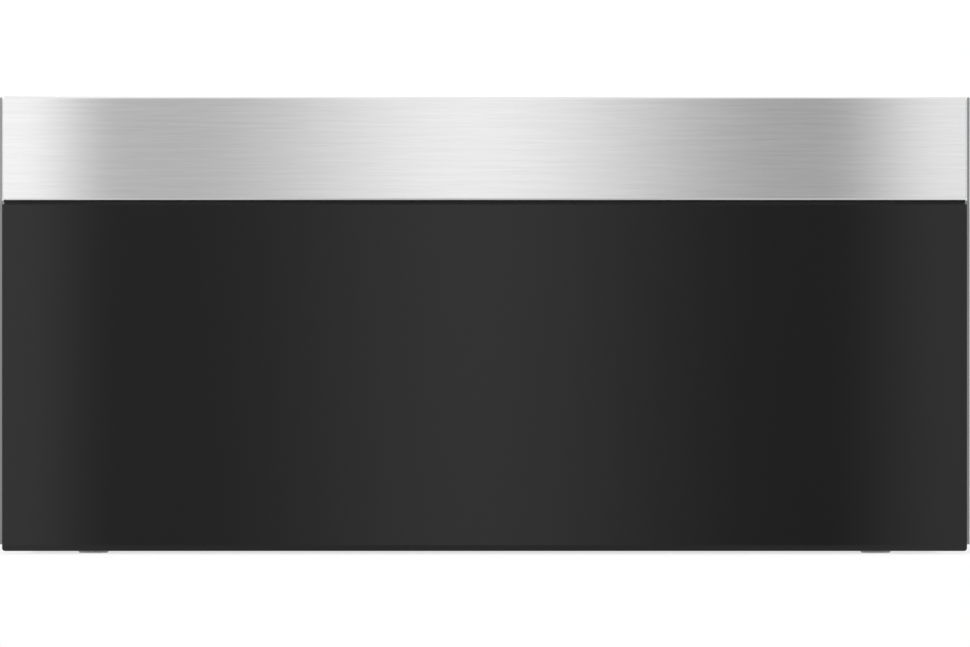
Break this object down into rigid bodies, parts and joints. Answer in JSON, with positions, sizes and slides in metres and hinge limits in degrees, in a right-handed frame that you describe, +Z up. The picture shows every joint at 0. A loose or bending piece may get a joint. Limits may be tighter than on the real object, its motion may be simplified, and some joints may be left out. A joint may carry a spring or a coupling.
{
  "type": "built-in warming drawer",
  "caption": "Handleless built-in warming drawer with a dark glass and brushed steel front, a steel tray on telescopic ball runners, a rear fan heater and a galvanised casing.",
  "frame": {"origin": "centre of the part's box at the level of the feet, drawer closed", "axes": "+X to the right of someone facing the front, +Y to the back, +Z up"},
  "size_m": [0.762, 0.568, 0.359],
  "materials": {
    "brushed_stainless": "horizontally brushed stainless steel, fine grain",
    "trim_steel": "darker satin stainless trim",
    "satin_stainless": "satin stainless steel, lightly brushed front to back",
    "galvanised_steel": "galvanised sheet with faint spangle",
    "dark_glass": "dark grey mirror-finish glass, opaque",
    "black_glass": "black touch glass with plain pale marks",
    "black_painted_steel": "matt black powder coat",
    "circuit_board": "green circuit board",
    "mineral_fibre": "pale mineral fibre",
    "heater_steel": "heat-darkened heater tube",
    "motor_steel": "bare laminated steel",
    "fan_steel": "bright stamped steel",
    "black_plastic": "moulded black plastic",
    "grey_plastic": "moulded grey plastic",
    "black_rubber": "matt black rubber",
    "pale_nylon": "natural nylon glides",
    "ribbed_mat": "dark grey silicone mat with small raised dots",
    "zinc_steel": "bright zinc-plated runner steel",
    "ball_steel": "polished steel balls in a bright cage",
    "fastener_steel": "zinc-plated fasteners",
    "chrome_wire": "chrome-plated wire"
  },
  "bodies": {
    "casing": {"casing_floor": "galvanised_steel", "casing_side_left": "galvanised_steel", "casing_side_right": "galvanised_steel", "casing_top": "galvanised_steel", "casing_back": "galvanised_steel", "trim_flange_left": "trim_steel", "trim_flange_right": "trim_steel", "front_rail_bottom": "brushed_stainless", "control_fascia": "brushed_stainless", "control_glass": "black_glass", "control_board": "circuit_board", "cavity_cover": "galvanised_steel", "insulation_blanket": "mineral_fibre", "fan_baffle": "galvanised_steel", "fan_chamber": "galvanised_steel", "ring_heater": "heater_steel", "fan_motor": "motor_steel", "temperature_sensor": "fan_steel", "thermal_cutout": "black_plastic", "power_board": "circuit_board", "mains_inlet": "black_plastic", "runner_hanger_left": "zinc_steel", "runner_hanger_right": "zinc_steel", "runner_outer_left": "zinc_steel", "runner_outer_right": "zinc_steel", "hanger_rivets": "fastener_steel", "catch_housing": "black_plastic", "feet": "pale_nylon", "casing_screws": "fastener_steel"},
    "fan": {"fan_wheel": "fan_steel", "fan_shaft": "motor_steel"},
    "plunger": {"catch_plunger": "grey_plastic"},
    "middle_left": {"runner_middle_left": "zinc_steel"},
    "middle_right": {"runner_middle_right": "zinc_steel"},
    "cage_outer_left": {"ball_cage_outer_left": "ball_steel"},
    "cage_outer_right": {"ball_cage_outer_right": "ball_steel"},
    "cage_inner_left": {"ball_cage_inner_left": "ball_steel"},
    "cage_inner_right": {"ball_cage_inner_right": "ball_steel"},
    "drawer": {"runner_inner_left": "zinc_steel", "runner_inner_right": "zinc_steel", "runner_rivets": "fastener_steel", "tray_shell": "satin_stainless", "tray_front_wall": "satin_stainless", "tray_back_wall": "satin_stainless", "front_carrier": "black_painted_steel", "front_insulation": "mineral_fibre", "front_glass": "dark_glass", "glass_bond": "black_rubber", "front_band": "brushed_stainless", "front_brackets": "galvanised_steel", "front_screws": "fastener_steel", "drawer_seal": "black_rubber", "non_slip_mat": "ribbed_mat", "catch_striker": "zinc_steel", "rack_grid": "chrome_wire", "rack_legs": "chrome_wire"}
  },
  "joints": [
    {"name": "drawer_slide", "type": "slide", "parent": "casing", "child": "drawer", "axis": [0, -1, 0], "range_m": [-0.003, 0.45]},
    {"name": "fan_spin", "type": "hinge", "parent": "casing", "child": "fan", "pos_m": [0, 0.222, 0.1505], "axis": [0, 1, 0], "continuous": true},
    {"name": "middle_left_slide", "type": "slide", "parent": "casing", "child": "middle_left", "axis": [0, -1, 0], "range_m": [-0.00151, 0.22501]},
    {"name": "middle_right_slide", "type": "slide", "parent": "casing", "child": "middle_right", "axis": [0, -1, 0], "range_m": [-0.00151, 0.22501]},
    {"name": "cage_outer_left_slide", "type": "slide", "parent": "casing", "child": "cage_outer_left", "axis": [0, -1, 0], "range_m": [-0.00076, 0.11251]},
    {"name": "cage_outer_right_slide", "type": "slide", "parent": "casing", "child": "cage_outer_right", "axis": [0, -1, 0], "range_m": [-0.00076, 0.11251]},
    {"name": "cage_inner_left_slide", "type": "slide", "parent": "casing", "child": "cage_inner_left", "axis": [0, -1, 0], "range_m": [-0.00226, 0.33751]},
    {"name": "cage_inner_right_slide", "type": "slide", "parent": "casing", "child": "cage_inner_right", "axis": [0, -1, 0], "range_m": [-0.00226, 0.33751]},
    {"name": "plunger_slide", "type": "slide", "parent": "casing", "child": "plunger", "axis": [0, -1, 0], "range_m": [-0.00021, 0.02993]}
  ],
  "couplings": [
    {"joint": "middle_left_slide", "follows": "drawer_slide", "ratio": 0.5},
    {"joint": "middle_right_slide", "follows": "drawer_slide", "ratio": 0.5},
    {"joint": "cage_outer_left_slide", "follows": "drawer_slide", "ratio": 0.25},
    {"joint": "cage_outer_right_slide", "follows": "drawer_slide", "ratio": 0.25},
    {"joint": "cage_inner_left_slide", "follows": "drawer_slide", "ratio": 0.75},
    {"joint": "cage_inner_right_slide", "follows": "drawer_slide", "ratio": 0.75},
    {"joint": "plunger_slide", "follows": "drawer_slide", "ratio": 0.0665}
  ]
}
